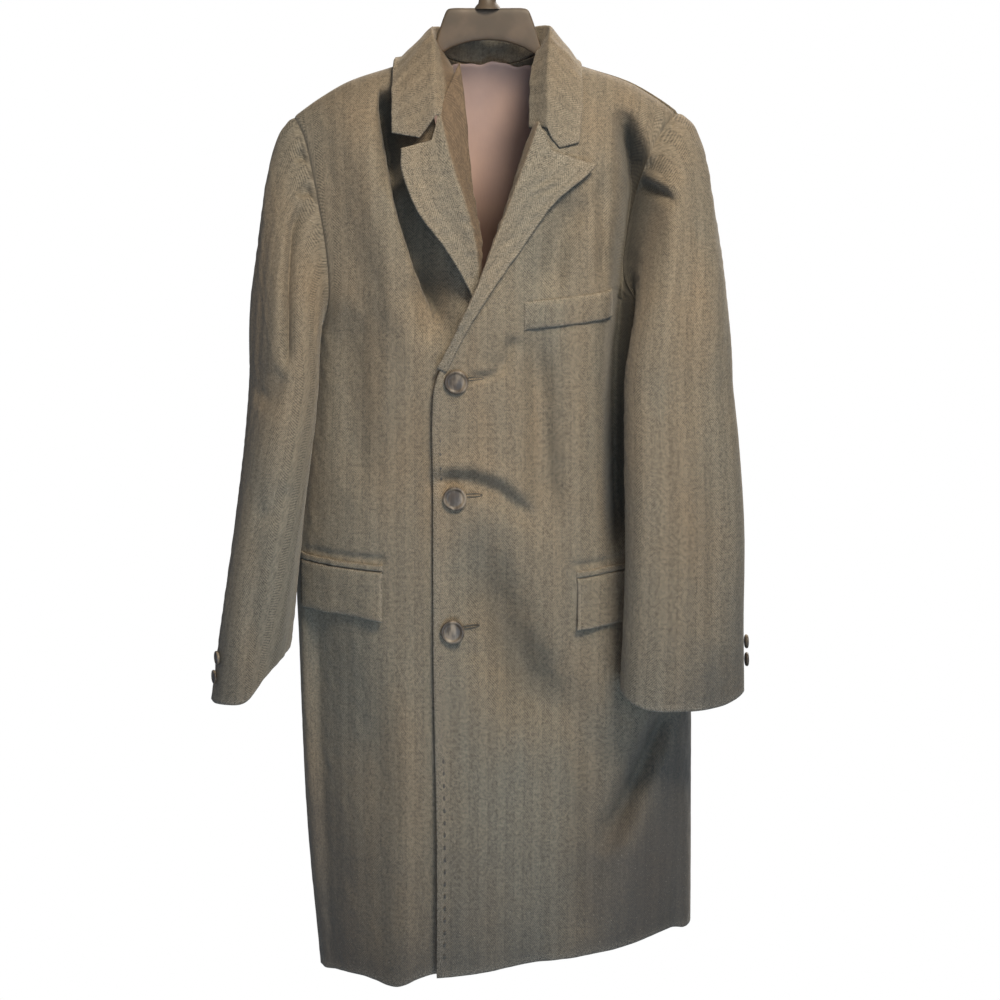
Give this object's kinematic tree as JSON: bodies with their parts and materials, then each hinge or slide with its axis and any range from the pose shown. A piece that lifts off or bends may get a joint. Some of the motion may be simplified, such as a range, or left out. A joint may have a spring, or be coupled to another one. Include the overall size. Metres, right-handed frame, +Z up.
{
  "type": "long wool coat on a hanger",
  "caption": "Long single-breasted herringbone wool coat with notched lapels, welt and flap pockets, hung by its shoulders on a moulded hanger with a hook.",
  "frame": {"origin": "inside top of the hook, where a rail carries it", "axes": "+Z up; -Y is the coat's front, so +X is the wearer's left"},
  "size_m": [0.6065, 0.2777, 1.194],
  "materials": {
    "wool": "herringbone woven wool",
    "lining": "satin woven",
    "button": "polished horn-like",
    "hanger": "moulded satin"
  },
  "bodies": {
    "root": {"front_left": "wool", "front_right": "wool", "back": "wool", "sleeve_left_top": "wool", "sleeve_left_under": "wool", "sleeve_right_top": "wool", "sleeve_right_under": "wool", "lapel_left": "wool", "lapel_right": "wool", "collar": "wool", "welt": "wool", "flap_left": "wool", "flap_right": "wool", "jet_left": "wool", "jet_right": "wool", "lining": "lining", "button_top": "button", "button_middle": "button", "button_low": "button", "cuff_button_left_high": "button", "cuff_button_left_low": "button", "cuff_button_right_high": "button", "cuff_button_right_low": "button", "hanger": "hanger", "hook": "hanger"}
  },
  "joints": []
}
